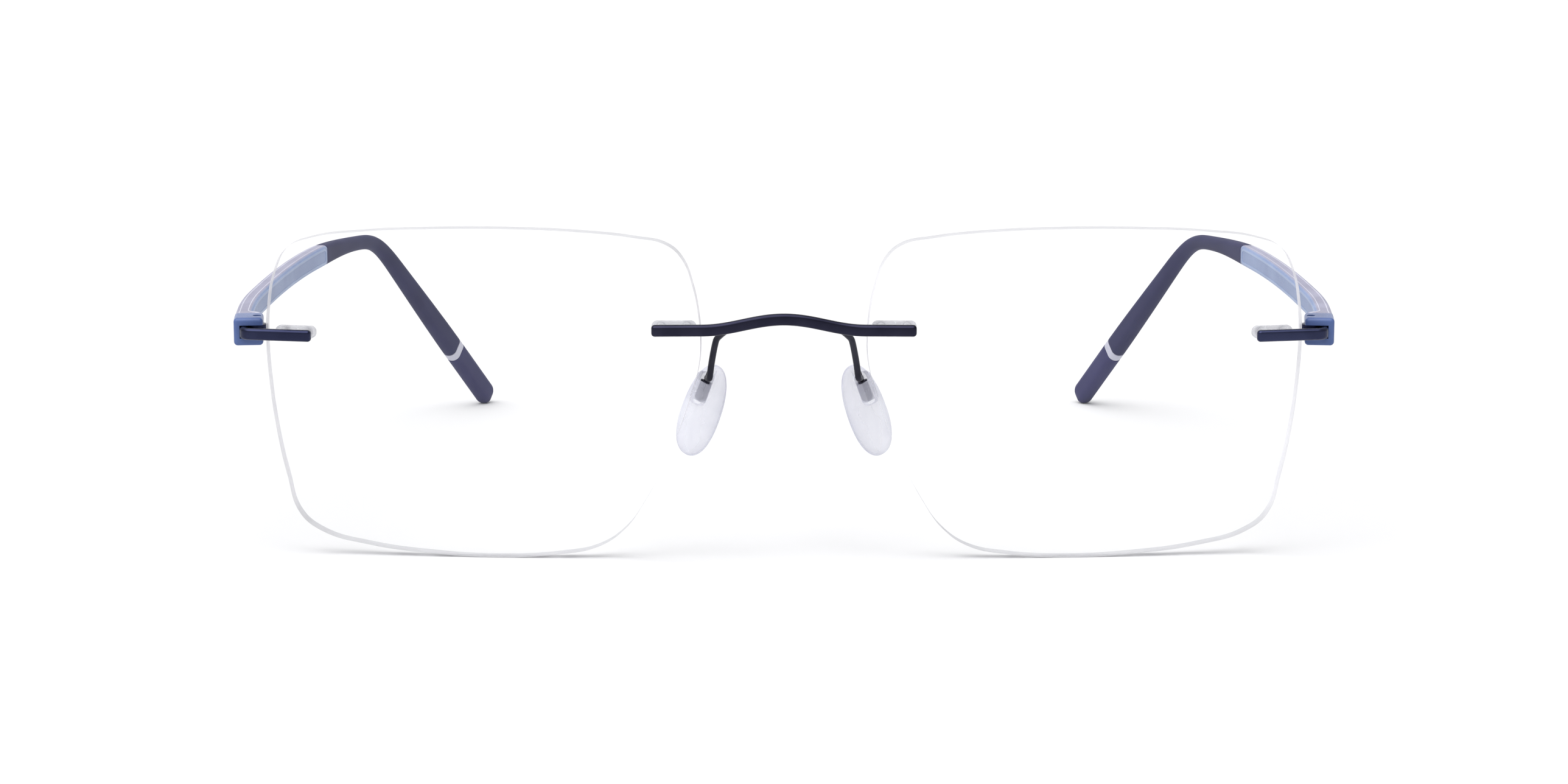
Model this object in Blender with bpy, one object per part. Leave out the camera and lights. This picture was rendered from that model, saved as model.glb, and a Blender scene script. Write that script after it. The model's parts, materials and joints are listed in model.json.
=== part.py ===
"""Rimless eyeglasses, in metres. +X is the wearer's left, +Y runs back to the ears and +Z is up.

The glasses stand open on a table, on the lower edges of the lenses and on the tips of the
temples. Every paired piece is modelled on the wearer's left and mirrored to the right.
"""

import math

import bmesh
import bpy
import numpy as np
from mathutils import Matrix, Vector
from mathutils.geometry import interpolate_bezier

# Lenses
LENS_WIDTH = 0.0555
LENS_HEIGHT = 0.0426
LENS_GAP = 0.0214
LENS_THICKNESS = 0.0020
LENS_RADIUS = 0.250
LENS_EDGE_BEVEL = 0.00022
LENS_WRAP = math.radians(4.0)
LENS_TILT = math.radians(3.0)
# Half outline points as fractions of the half width (outward) and half height (up), anticlockwise.
LENS_OUTLINE = (
    (1.000, 0.31), (0.992, 0.52), (0.958, 0.73), (0.900, 0.862), (0.790, 0.926),
    (0.560, 0.970), (0.240, 0.994), (-0.100, 1.000), (-0.440, 0.985), (-0.700, 0.950),
    (-0.850, 0.905), (-0.918, 0.820), (-0.965, 0.660), (-0.990, 0.500), (-1.000, 0.320),
    (-0.990, 0.170), (-0.950, -0.020), (-0.866, -0.320), (-0.740, -0.650), (-0.650, -0.815),
    (-0.530, -0.925), (-0.340, -0.978), (-0.050, -1.000), (0.240, -0.985), (0.550, -0.938),
    (0.766, -0.863), (0.866, -0.757), (0.921, -0.515), (0.966, -0.210), (0.990, 0.060),
)

# Lens mountings: pairs of pins that pass through drilled holes into plastic bushes
NASAL_SEAT_INSET = 0.00330
NASAL_SEAT_HEIGHT = 0.00862
NASAL_PIN_SPACING = 0.0033
TEMPORAL_SEAT_INSET = 0.00315
TEMPORAL_SEAT_HEIGHT = 0.00735
TEMPORAL_PIN_SPACING = 0.0029
PIN_RADIUS = 0.00033
BUSH_TUBE_RADIUS = 0.00068
BUSH_PLATE_HEIGHT = 0.0016
BUSH_PLATE_THICKNESS = 0.0008
BUSH_PLATE_MARGIN = 0.0012

# Bridge
BRIDGE_HEIGHT = 0.00150
BRIDGE_DEPTH = 0.00115
BRIDGE_END_REACH = 0.00285
BRIDGE_ARCH_REACH = 0.0103
BRIDGE_ARCH_RISE = 0.0015
BRIDGE_ARCH_BOW = 0.0009
BAR_CORNER = 0.00036

# End pieces
END_PIECE_HEIGHT = 0.00150
END_PIECE_DEPTH = 0.0010
END_PIECE_LEG_DEPTH = 0.0008
END_PIECE_REACH = 0.0035
END_PIECE_INNER_REACH = 0.00255
END_PIECE_BEND = 0.0011

# Hinges: a barrel on the end piece turns on a pin between the two ears of the temple
HINGE_BACK = 0.0040
BARREL_RADIUS = 0.0014
BARREL_BEVEL = 0.00015
HINGE_PIN_RADIUS = 0.0005
HINGE_PIN_SINK = 0.00040

# Temples: a moulded arm with an inlay, then a sleeve, a ring and a cap on a wire core
TEMPLE_LENGTH = 0.0871
TEMPLE_RISE = 0.0178
TEMPLE_BOW_PLACE = 0.0273
TEMPLE_BOW_OUT = 0.0023
TEMPLE_BOW_UP = 0.00027
TEMPLE_BEND_IN = 0.0047
BEND_LENGTH = 0.0114
BEND_DROP = 0.0052
BEND_INWARD = 0.0039
LEG_DROP_SLOPE = 1.01
LEG_INWARD_SLOPE = 0.50
BLOCK_FRONT = 0.0026
BLOCK_LENGTH = 0.0044
BLOCK_INNER = 0.0011
BLOCK_OUTER_WALL = 0.00075
BLOCK_HALF_HEIGHT = 0.00178
BLOCK_BLEND = 0.0050
ARM_LENGTH = 0.0686
ARM_TAPER = 0.0040
ARM_HALF_HEIGHT = 0.00150
ARM_HALF_DEPTH = 0.00108
BEND_HALF_HEIGHT = 0.00110
TIP_HALF_HEIGHT = 0.00170
TIP_HALF_DEPTH = 0.00114
TEMPLE_CORNER = 0.00055
LINER_START = 0.0092
LINER_END_MARGIN = 0.0008
LINER_HALF_HEIGHT = 0.00120
LINER_DEPTH = 0.00045
RING_LENGTH = 0.0014
CAP_LENGTH = 0.0134
TIP_DOME = 0.0018
CORE_RADIUS = 0.00045
CORE_ARM_GRIP = 0.0060
CORE_CAP_GRIP = 0.0070

# Nose pads: a silicone pad with a metal clip in a pocket, on a tongue at the end of its arm
PAD_WIRE_RADIUS = 0.00042
PAD_WIRE_ROOT = 0.0066
PAD_WIRE_KNEE = (0.0089, 0.0033, 0.0275)
PAD_LENGTH = 0.0123
PAD_WIDTH = 0.0066
PAD_THICKNESS = 0.0023
PAD_PLACE = (0.0106, 0.0070, 0.01835)
PAD_SPLAY = math.radians(44.0)
PAD_FLARE = math.radians(20.0)
TONGUE_OFFSET = 0.00105
TONGUE_BOTTOM = 0.0016
TONGUE_TOP = 0.0056
TONGUE_HALF_WIDTH = 0.00055
TONGUE_HALF_DEPTH = 0.00018
WIRE_ENTRY = 0.0043
WIRE_SIDE_STEP = 0.0013
CLIP_BOTTOM = 0.0012
CLIP_TOP = 0.0039
CLIP_WALL = 0.00024
BOSS_WALL = 0.0005
BOSS_TOP = 0.0050
ROCK_GAP = 0.00010

# Clearances: of pressed pieces, of flat plates on the hollow rear faces, of pieces that turn
FIT_GAP = 0.00005
SEAT_GAP = 0.00015
RUN_GAP = 0.00009

# Colours (linear), roughness and metallic value
FINISHES = {
    "lens": ((0.90, 0.92, 0.95), 0.03, 0.0),
    "bush": ((0.80, 0.81, 0.82), 0.25, 0.0),
    "metal": ((0.030, 0.032, 0.060), 0.35, 1.0),
    "end_piece": ((0.045, 0.052, 0.100), 0.35, 1.0),
    "block": ((0.070, 0.130, 0.320), 0.40, 0.0),
    "liner": ((0.300, 0.420, 0.650), 0.40, 0.0),
    "sleeve": ((0.055, 0.058, 0.130), 0.55, 0.0),
    "ring": ((0.560, 0.550, 0.620), 0.40, 0.0),
    "pad": ((0.850, 0.870, 0.900), 0.20, 0.0),
    "steel": ((0.350, 0.350, 0.380), 0.30, 1.0),
}

HOLE_SEGMENTS = 12
CORNER_STEPS = 2
UP = Vector((0, 0, 1))


# ---------------------------------------------------------------- helpers


def clear_scene():
    for obj in list(bpy.data.objects):
        bpy.data.objects.remove(obj)


def finish(name):
    """The material of this name, made on first use."""
    if name not in bpy.data.materials:
        colour, roughness, metallic = FINISHES[name]
        material = bpy.data.materials.new(name)
        material.use_nodes = True
        shader = material.node_tree.nodes["Principled BSDF"]
        shader.inputs["Base Color"].default_value = (*colour, 1)
        shader.inputs["Roughness"].default_value = roughness
        shader.inputs["Metallic"].default_value = metallic
    return bpy.data.materials[name]


def make_object(name, bm, material):
    """A linked object from a bmesh in world coordinates, smooth except at its edges."""
    bmesh.ops.recalc_face_normals(bm, faces=bm.faces)
    mesh = bpy.data.meshes.new(name)
    bm.to_mesh(mesh)
    bm.free()
    mesh.shade_smooth()
    mesh.set_sharp_from_angle(angle=math.radians(35))
    obj = bpy.data.objects.new(name, mesh)
    mesh.materials.append(finish(material))
    bpy.context.collection.objects.link(obj)
    return obj


def combine(obj, others, operation):
    """Joins the other objects to this one, or cuts them from it, and removes them."""
    for other in others:
        modifier = obj.modifiers.new(operation, "BOOLEAN")
        modifier.operation = operation
        modifier.object = other
    bpy.context.view_layer.update()
    graph = bpy.context.evaluated_depsgraph_get()
    mesh = bpy.data.meshes.new_from_object(obj.evaluated_get(graph))
    obj.modifiers.clear()
    obj.data = mesh
    mesh.set_sharp_from_angle(angle=math.radians(35))
    for other in others:
        bpy.data.objects.remove(other)
    return obj


def mirrored(obj, name):
    """The wearer's right copy of a piece modelled on the left."""
    mesh = obj.data.copy()
    mesh.name = name
    mesh.transform(Matrix.Scale(-1, 4, (1, 0, 0)))
    mesh.flip_normals()
    copy = bpy.data.objects.new(name, mesh)
    bpy.context.collection.objects.link(copy)
    return copy


def rounded_rectangle(right, left, half_height, radius, steps=CORNER_STEPS):
    """Points round a rectangle from -left to right and -half_height to half_height."""
    points = []
    corners = (
        (right - radius, half_height - radius, 0),
        (radius - left, half_height - radius, 90),
        (radius - left, radius - half_height, 180),
        (right - radius, radius - half_height, 270),
    )
    for x, y, start in corners:
        for step in range(steps + 1):
            turn = math.radians(start + 90 * step / steps)
            points.append((x + radius * math.cos(turn), y + radius * math.sin(turn)))
    return points


def circle(radius, segments=HOLE_SEGMENTS, start=0.0):
    turns = [start + 2 * math.pi * step / segments for step in range(segments)]
    return [(radius * math.cos(turn), radius * math.sin(turn)) for turn in turns]


def place_ring(frame, points):
    """Section points put in the plane of a frame's X and Z axes."""
    return [frame @ Vector((x, 0, z)) for x, z in points]


def loft(rings, holes=()):
    """A closed solid through rings of points.

    holes are the rings of a bore through it, with as many points as the outer rings.
    """
    bm = bmesh.new()
    loops = [[bm.verts.new(point) for point in ring] for ring in [*rings, *reversed(holes)]]
    if holes:
        loops.append(loops[0])
    for near, far in zip(loops, loops[1:]):
        for i in range(len(near)):
            j = (i + 1) % len(near)
            bm.faces.new((near[i], near[j], far[j], far[i]))
    if not holes:
        bm.faces.new(loops[0])
        bm.faces.new(loops[-1])
    return bm


def frame_at(point, along, up):
    """A frame with Y along the path, X across it and Z as near up as it can be."""
    y = along.normalized()
    x = y.cross(up).normalized()
    z = x.cross(y)
    matrix = Matrix((x, y, z)).transposed().to_4x4()
    matrix.translation = point
    return matrix


def cylinder(name, frame, radius, start, end, material="steel", segments=HOLE_SEGMENTS):
    """A cylinder along a frame's Y axis."""
    ring = circle(radius, segments)
    shift = [frame @ Matrix.Translation((0, place, 0)) for place in (start, end)]
    return make_object(name, loft([place_ring(matrix, ring) for matrix in shift]), material)


# ---------------------------------------------------------------- lenses


def lens_frame():
    """The left lens's frame: X outward, Y back through the glass and Z up its face."""
    turn = Matrix.Rotation(LENS_TILT, 4, "X") @ Matrix.Rotation(LENS_WRAP, 4, "Z")
    middle = LENS_GAP / 2 + LENS_WIDTH / 2 * math.cos(LENS_WRAP)
    height = LENS_HEIGHT / 2 * math.cos(LENS_TILT)
    return Matrix.Translation((middle, 0, height)) @ turn


def face_depth(across, up, behind=0.0):
    """How far back a lens face lies at a point, for a face this far behind the front one."""
    radius = LENS_RADIUS - behind
    return LENS_RADIUS - math.sqrt(radius**2 - across**2 - up**2)


def lens_seat(inset, up, side):
    """The frame where a mounting sits: X outward along the face, Y into the lens, Z up.

    inset is measured from the lens's widest point on that side, 1 outward and -1 inward.
    """
    across = side * (LENS_WIDTH / 2 - inset)
    point = Vector((across, face_depth(across, up), up))
    inward = Vector((0, LENS_RADIUS, 0)) - point
    return lens_frame() @ frame_at(point, inward, UP)


def nasal_seat():
    return lens_seat(NASAL_SEAT_INSET, NASAL_SEAT_HEIGHT, -1)


def temporal_seat():
    return lens_seat(TEMPORAL_SEAT_INSET, TEMPORAL_SEAT_HEIGHT, 1)


def pin_places(seat, spacing):
    return [seat @ Matrix.Translation((side * spacing / 2, 0, 0)) for side in (-1, 1)]


def smooth_outline(points, steps):
    """A closed Catmull-Rom curve through the points."""
    points = [np.array(point) for point in points]
    count = len(points)
    curve = []
    for i in range(count):
        before, start, end, after = (points[(i + k) % count] for k in (-1, 0, 1, 2))
        for step in range(steps):
            t = step / steps
            curve.append(
                0.5 * (2 * start + (end - before) * t
                       + (2 * before - 5 * start + 4 * end - after) * t**2
                       + (3 * start - before - 3 * end + after) * t**3)
            )
    return curve


def lens():
    outline = smooth_outline(LENS_OUTLINE, 2)
    outline = [(x * LENS_WIDTH / 2, z * LENS_HEIGHT / 2) for x, z in outline]
    frame = lens_frame()
    bevel = LENS_EDGE_BEVEL

    def ring(share, behind, setback=0.0):
        points = [(x * share, z * share) for x, z in outline]
        return [Vector((x, face_depth(x, z, behind) + setback, z)) for x, z in points]

    rim = 1 - 2 * bevel / LENS_HEIGHT
    shares = (0.03, 0.55, rim)
    rings = [ring(share, 0) for share in shares]
    rings += [ring(1, 0, bevel), ring(1, LENS_THICKNESS, -bevel)]
    rings += [ring(share, LENS_THICKNESS) for share in reversed(shares)]
    solid = make_object("left_lens", loft([[frame @ p for p in r] for r in rings]), "lens")
    drills = []
    for seat, spacing in ((nasal_seat(), NASAL_PIN_SPACING), (temporal_seat(), TEMPORAL_PIN_SPACING)):
        for place in pin_places(seat, spacing):
            drills.append(cylinder("drill", place, BUSH_TUBE_RADIUS + FIT_GAP, -0.001, LENS_THICKNESS + 0.001))
    return combine(solid, drills, "DIFFERENCE")


def bush(name, seat, spacing):
    """A rear plate with two tubes that fill the lens's holes and grip the pins."""
    back = LENS_THICKNESS + SEAT_GAP
    half = spacing / 2 + BUSH_PLATE_MARGIN
    section = rounded_rectangle(half, half, BUSH_PLATE_HEIGHT / 2, BUSH_PLATE_HEIGHT * 0.45)
    edge = 0.82
    depths = ((edge, 0), (1, 0.18), (1, 0.82), (edge, 1))
    rings = [
        place_ring(seat @ Matrix.Translation((0, back + share * BUSH_PLATE_THICKNESS, 0)),
                   [(x * scale, z * scale) for x, z in section])
        for scale, share in depths
    ]
    plate = make_object(name, loft(rings), "bush")
    places = pin_places(seat, spacing)
    overlap = back + BUSH_PLATE_THICKNESS / 2
    tubes = [cylinder("tube", place, BUSH_TUBE_RADIUS, FIT_GAP, overlap) for place in places]
    plate = combine(plate, tubes, "UNION")
    end = back + BUSH_PLATE_THICKNESS + 0.001
    bores = [cylinder("bore", place, PIN_RADIUS + FIT_GAP, -0.001, end) for place in places]
    return combine(plate, bores, "DIFFERENCE")


def pins(seat, spacing, front):
    """The two pins of a mounting, from inside the metal bar to the bush's rear face."""
    end = LENS_THICKNESS + SEAT_GAP + BUSH_PLATE_THICKNESS * 0.9
    return [cylinder("pin", place, PIN_RADIUS, -front, end) for place in pin_places(seat, spacing)]


# ---------------------------------------------------------------- bridge


def bridge_path():
    """The bar's middle line from its left end to its right: flat ends and a low arch between."""
    seat = nasal_seat()
    start = (seat @ Matrix.Translation((0, -FIT_GAP - BRIDGE_DEPTH / 2, 0))).translation
    outward = (seat.to_3x3() @ Vector((1, 0, 0))).normalized()
    slope = outward / outward.x
    reach = BRIDGE_ARCH_REACH
    root = start + slope * (reach - start.x)
    end = start + slope * BRIDGE_END_REACH
    path = [end, end.lerp(root, 0.5), root]
    for x in np.linspace(reach, 0, 9)[1:]:
        arch = 0.5 * (1 + math.cos(math.pi * x / reach))
        settle = reach / 2 * (1 - (x / reach) ** 2)
        path.append(Vector((x, root.y - slope.y * settle - BRIDGE_ARCH_BOW * arch,
                            root.z - slope.z * settle + BRIDGE_ARCH_RISE * arch)))
    return path + [Vector((-point.x, point.y, point.z)) for point in reversed(path[:-1])]


def bridge():
    seat = nasal_seat()
    path = bridge_path()
    lean = (seat.to_3x3() @ UP).normalized()
    section = rounded_rectangle(BRIDGE_DEPTH / 2, BRIDGE_DEPTH / 2, BRIDGE_HEIGHT / 2, BAR_CORNER)
    frames = bar_frames(path, [lean] * len(path))
    bar = make_object("bridge", loft(rounded_ends(frames, section, 0.0004)), "metal")
    left_pins = pins(seat, NASAL_PIN_SPACING, BRIDGE_DEPTH / 2)
    right_pins = [mirrored(pin, "pin") for pin in left_pins]
    return combine(bar, left_pins + right_pins, "UNION")


def bar_frames(path, ups):
    """Frames along a path, each facing along it."""
    frames = []
    for i, (point, up) in enumerate(zip(path, ups)):
        before = path[max(i - 1, 0)]
        after = path[min(i + 1, len(path) - 1)]
        frames.append(frame_at(point, after - before, up))
    return frames


def rounded_ends(frames, section, radius, both=True):
    """Rings along the frames whose end rings shrink to round the corners off."""
    rings = [place_ring(frame, section) for frame in frames]
    smallest = min(max(abs(x) for x, _ in section), max(abs(z) for _, z in section))
    radius = min(radius, smallest * 0.8)

    def shrunk(frame, sign):
        made = []
        for turn in (0, 30, 60):
            inset = radius * (1 - math.sin(math.radians(turn)))
            forward = radius * (1 - math.cos(math.radians(turn)))
            near = [(x - math.copysign(min(inset, abs(x)), x), z - math.copysign(min(inset, abs(z)), z))
                    for x, z in section]
            made.append(place_ring(frame @ Matrix.Translation((0, sign * forward, 0)), near))
        made.append(place_ring(frame @ Matrix.Translation((0, sign * radius, 0)), section))
        return made

    rings = shrunk(frames[0], 1) + rings[1:]
    if both:
        rings = rings[:-1] + list(reversed(shrunk(frames[-1], -1)))
    return rings


# ---------------------------------------------------------------- end pieces and hinges


def leg_outer_face():
    """How far out the end piece reaches."""
    edge = lens_frame() @ Vector((LENS_WIDTH / 2, face_depth(LENS_WIDTH / 2, 0), TEMPORAL_SEAT_HEIGHT))
    return edge.x + END_PIECE_REACH


def end_piece_axis():
    """The temporal seat moved to the middle of the metal in front of the lens."""
    return temporal_seat() @ Matrix.Translation((0, -FIT_GAP - END_PIECE_DEPTH / 2, 0))


def bend_corner():
    """Where the middle line of the bar on the lens meets that of the leg."""
    axis = end_piece_axis()
    outward = axis.to_3x3() @ Vector((1, 0, 0))
    leg = leg_outer_face() - END_PIECE_LEG_DEPTH / 2
    return axis.translation + outward * ((leg - axis.translation.x) / outward.x)


def hinge_point():
    corner = bend_corner()
    return Vector((corner.x - BARREL_RADIUS, corner.y + HINGE_BACK, corner.z))


def end_piece():
    """A strip that runs out along the lens, turns back and ends in the hinge barrel."""
    axis = end_piece_axis()
    outward = (axis.to_3x3() @ Vector((1, 0, 0))).normalized()
    lean = (axis.to_3x3() @ UP).normalized()
    corner = bend_corner()
    hinge = hinge_point()
    back = Vector((0, 1, 0))
    start = axis.translation - outward * END_PIECE_INNER_REACH
    bend_start = corner - outward * END_PIECE_BEND
    bend_end = corner + back * END_PIECE_BEND
    bend = interpolate_bezier(bend_start, bend_start + outward * END_PIECE_BEND * 0.55,
                              bend_end - back * END_PIECE_BEND * 0.55, bend_end, 8)
    leg_end = Vector((corner.x, hinge.y, hinge.z))
    path = [start, start.lerp(bend_start, 0.5), *bend, leg_end]
    shares = [0, 0, *np.linspace(0, 1, len(bend)), 1]
    ups = [lean.lerp(UP, share) for share in shares]
    frames = bar_frames(path, ups)
    frames[-1] = frame_at(leg_end, back, UP)
    rings = []
    for frame, share in zip(frames, shares):
        half = (END_PIECE_DEPTH + (END_PIECE_LEG_DEPTH - END_PIECE_DEPTH) * share) / 2
        rings.append(place_ring(frame, rounded_rectangle(half, half, END_PIECE_HEIGHT / 2, BAR_CORNER)))
    half = END_PIECE_DEPTH / 2
    section = rounded_rectangle(half, half, END_PIECE_HEIGHT / 2, BAR_CORNER)
    rings = rounded_ends(frames[:2], section, 0.0004, both=False)[:-1] + rings[1:]
    strip = make_object("left_end_piece", loft(rings), "end_piece")
    standing = Matrix.Translation(hinge) @ Matrix.Rotation(math.radians(90), 4, "X")
    half = END_PIECE_HEIGHT / 2
    profile = ((-half, BARREL_RADIUS - BARREL_BEVEL), (BARREL_BEVEL - half, BARREL_RADIUS),
               (half - BARREL_BEVEL, BARREL_RADIUS), (half, BARREL_RADIUS - BARREL_BEVEL))
    rings = [place_ring(standing @ Matrix.Translation((0, place, 0)), circle(radius, 24))
             for place, radius in profile]
    barrel = make_object("barrel", loft(rings), "end_piece")
    strip = combine(strip, [barrel, *pins(temporal_seat(), TEMPORAL_PIN_SPACING, END_PIECE_DEPTH / 2)], "UNION")
    bore = cylinder("bore", standing, HINGE_PIN_RADIUS + RUN_GAP, -0.002, 0.002)
    return combine(strip, [bore], "DIFFERENCE")


def hinge_pin():
    standing = Matrix.Translation(hinge_point()) @ Matrix.Rotation(math.radians(90), 4, "X")
    top = END_PIECE_HEIGHT / 2 + RUN_GAP + HINGE_PIN_SINK - FIT_GAP
    return cylinder("left_hinge_pin", standing, HINGE_PIN_RADIUS, -top, BLOCK_HALF_HEIGHT - 0.0001)


# ---------------------------------------------------------------- temples


def temple_nodes():
    """Points and directions of the temple's middle line up to where its leg begins."""
    hinge = hinge_point()
    outer = leg_outer_face() + RUN_GAP + BLOCK_OUTER_WALL
    front = Vector((outer - ARM_HALF_DEPTH, hinge.y - BLOCK_FRONT, hinge.z))
    bow = front + Vector((TEMPLE_BOW_OUT, TEMPLE_BOW_PLACE, TEMPLE_BOW_UP))
    bend = front + Vector((-TEMPLE_BEND_IN, TEMPLE_LENGTH, TEMPLE_LENGTH * TEMPLE_RISE))
    leg = bend + Vector((-BEND_INWARD, BEND_LENGTH, -BEND_DROP))
    return [
        (front, Vector((0.12, 1, TEMPLE_RISE))),
        (bow, Vector((0, 1, TEMPLE_RISE))),
        (bend, Vector((-0.23, 1, -0.06))),
        (leg, leg_direction()),
    ]


def leg_direction():
    return Vector((-LEG_INWARD_SLOPE, 1, -LEG_DROP_SLOPE))


def tip_height():
    """The height of the middle line's end that lets the rounded tip just touch the table."""
    frame = frame_at(Vector((0, 0, 0)), leg_direction(), UP)
    section = (TIP_HALF_DEPTH, TIP_HALF_DEPTH, TIP_HALF_HEIGHT)
    return -min(point.z for ring in dome_rings(frame, section) for point in ring)


def temple_path():
    """The temple's middle line as close points, from the hinge block's front to the tip."""
    nodes = temple_nodes()
    path = []
    for (start, out), (end, into) in zip(nodes, nodes[1:]):
        reach = (end - start).length / 3
        path += interpolate_bezier(start, start + out.normalized() * reach,
                                   end - into.normalized() * reach, end, 80)[:-1]
    leg = nodes[-1][0]
    run = (leg.z - tip_height()) / LEG_DROP_SLOPE
    path += [leg + leg_direction() * run * share for share in np.linspace(0, 1, 40)]
    return path


class Course:
    """Frames at any distance along a path."""

    def __init__(self, path):
        self.path = path
        steps = [(b - a).length for a, b in zip(path, path[1:])]
        self.places = np.concatenate([[0], np.cumsum(steps)])
        self.length = float(self.places[-1])

    def point(self, place):
        return Vector([np.interp(place, self.places, [p[axis] for p in self.path]) for axis in range(3)])

    def frame(self, place):
        place = min(max(place, 0), self.length)
        step = 0.0004
        before = self.point(max(place - step, 0))
        after = self.point(min(place + step, self.length))
        return frame_at(self.point(place), after - before, UP)

    def between(self, start, end, spacing):
        """Places from start to end, the inner ones on a grid that all pieces share."""
        grid = np.arange(0, self.length, spacing)
        margin = spacing * 0.25
        return [start, *[float(g) for g in grid if start + margin < g < end - margin], end]


def ease(value, start, end):
    """0 before start, 1 after end and a smooth step between."""
    share = min(max((value - start) / (end - start), 0), 1)
    return share * share * (3 - 2 * share)


def temple_section(place, length):
    """The temple's section at a distance along it: (outer, inner, half height)."""
    block = 1 - ease(place, BLOCK_LENGTH, BLOCK_LENGTH + BLOCK_BLEND)
    slim = ease(place, ARM_LENGTH - ARM_TAPER, TEMPLE_LENGTH)
    tip = ease(place, TEMPLE_LENGTH, length - CAP_LENGTH)
    depth = ARM_HALF_DEPTH + (TIP_HALF_DEPTH - ARM_HALF_DEPTH) * tip
    height = ARM_HALF_HEIGHT + (BLOCK_HALF_HEIGHT - ARM_HALF_HEIGHT) * block
    height += (BEND_HALF_HEIGHT - ARM_HALF_HEIGHT) * slim + (TIP_HALF_HEIGHT - BEND_HALF_HEIGHT) * tip
    outer_face = leg_outer_face() + RUN_GAP + BLOCK_OUTER_WALL
    block_inner = outer_face - ARM_HALF_DEPTH - (hinge_point().x - BLOCK_INNER)
    inner = depth + (block_inner - depth) * block
    return depth, inner, height


def section_points(section, corner=TEMPLE_CORNER):
    outer, inner, height = section
    return rounded_rectangle(outer, inner, height, corner)


def dome_rings(frame, section):
    """Rings that close the tip, from full size to a small flat end at the frame."""
    points = section_points(section)
    rings = []
    for turn in (0, 22, 42, 60, 76):
        scale = math.cos(math.radians(turn))
        place = TIP_DOME * (math.sin(math.radians(turn)) - 1)
        ring = [(x * scale, z * scale) for x, z in points]
        rings.append(place_ring(frame @ Matrix.Translation((0, place, 0)), ring))
    return rings


def temple_rings(course, places):
    return [place_ring(course.frame(place), section_points(temple_section(place, course.length)))
            for place in places]


def core_rings(course, places, radius):
    return [place_ring(course.frame(place), circle(radius, start=CORE_TURN)) for place in places]


CORE_SPACING = 0.0024
CORE_TURN = math.radians(30)


def core_cutter(course, start, end):
    places = course.between(start, end, CORE_SPACING)
    return make_object("channel", loft(core_rings(course, places, CORE_RADIUS + FIT_GAP)), "steel")


def cap_start(course):
    return course.length - CAP_LENGTH


def temple_arm(course):
    """The moulded front part: the hinge's ears, and a recess for the inlay on the inner side."""
    spacing = 2 * CORE_SPACING
    front = [BLOCK_LENGTH * share for share in (0.5, 1)]
    blend = [BLOCK_LENGTH + BLOCK_BLEND * share for share in (0.25, 0.5, 0.75, 1)]
    places = front + blend + course.between(BLOCK_LENGTH + BLOCK_BLEND, ARM_LENGTH, spacing)[1:]
    outer, inner, height = temple_section(0, course.length)
    round_over = 0.0005
    rings = []
    for turn in (0, 30, 60, 90):
        inset = round_over * (1 - math.sin(math.radians(turn)))
        forward = round_over * (1 - math.cos(math.radians(turn)))
        points = rounded_rectangle(outer - inset, inner - inset, height - inset, TEMPLE_CORNER)
        rings.append(place_ring(course.frame(0) @ Matrix.Translation((0, forward, 0)), points))
    arm = make_object("left_temple_arm", loft(rings + temple_rings(course, places)), "block")
    return combine(arm, hinge_cutters() + [
        liner_solid(course, FIT_GAP, 0.0006),
        core_cutter(course, ARM_LENGTH - CORE_ARM_GRIP, ARM_LENGTH + 0.001),
    ], "DIFFERENCE")


def hinge_cutters():
    """The slot for the end piece's leg and barrel, and the blind hole for the pin."""
    hinge = hinge_point()
    standing = Matrix.Translation(hinge) @ Matrix.Rotation(math.radians(90), 4, "X")
    half = END_PIECE_HEIGHT / 2 + RUN_GAP
    outer = leg_outer_face() + RUN_GAP - hinge.x
    slot_back = RUN_GAP
    corners = ((outer, -0.006), (outer, slot_back), (-0.004, slot_back), (-0.004, -0.006))
    rings = [[hinge + Vector((x, y, z)) for x, y in corners] for z in (-half, half)]
    slot = make_object("slot", loft(rings), "steel")
    pocket = cylinder("pocket", standing, BARREL_RADIUS + 0.00015, -half, half, segments=32)
    top = half + HINGE_PIN_SINK
    hole = cylinder("hole", standing, HINGE_PIN_RADIUS + FIT_GAP, -top, BLOCK_HALF_HEIGHT + 0.001)
    return [slot, pocket, hole]


def liner_solid(course, gap, proud):
    """The inlay's shape, larger all round by gap and standing proud of the inner face."""
    start = LINER_START - gap
    end = ARM_LENGTH - LINER_END_MARGIN + gap
    half = LINER_HALF_HEIGHT + gap
    turns = (80, 60, 40, 20, 0)
    places = [start + half * (1 - math.sin(math.radians(turn))) for turn in turns]
    heights = [half * math.cos(math.radians(turn)) for turn in turns]
    middle = course.between(places[-1], end - half, 2 * CORE_SPACING)[1:-1]
    places += middle + [start + end - place for place in reversed(places)]
    heights += [half] * len(middle) + heights[::-1]
    rings = []
    for place, height in zip(places, heights):
        face = temple_section(place, course.length)[1]
        near, far = -face - proud, -face + LINER_DEPTH + gap
        section = ((far, height), (near, height), (near, -height), (far, -height))
        rings.append(place_ring(course.frame(place), section))
    return make_object("left_temple_liner", loft(rings), "liner")


def temple_sleeve(course):
    end = cap_start(course) - RING_LENGTH - 2 * FIT_GAP
    places = course.between(ARM_LENGTH + FIT_GAP, end, CORE_SPACING)
    holes = core_rings(course, places, CORE_RADIUS + FIT_GAP)
    return make_object("left_temple_sleeve", loft(temple_rings(course, places), holes), "sleeve")


def tip_ring(course):
    end = cap_start(course) - FIT_GAP
    places = [end - RING_LENGTH, end]
    holes = core_rings(course, places, CORE_RADIUS + FIT_GAP)
    return make_object("left_tip_ring", loft(temple_rings(course, places), holes), "ring")


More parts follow.
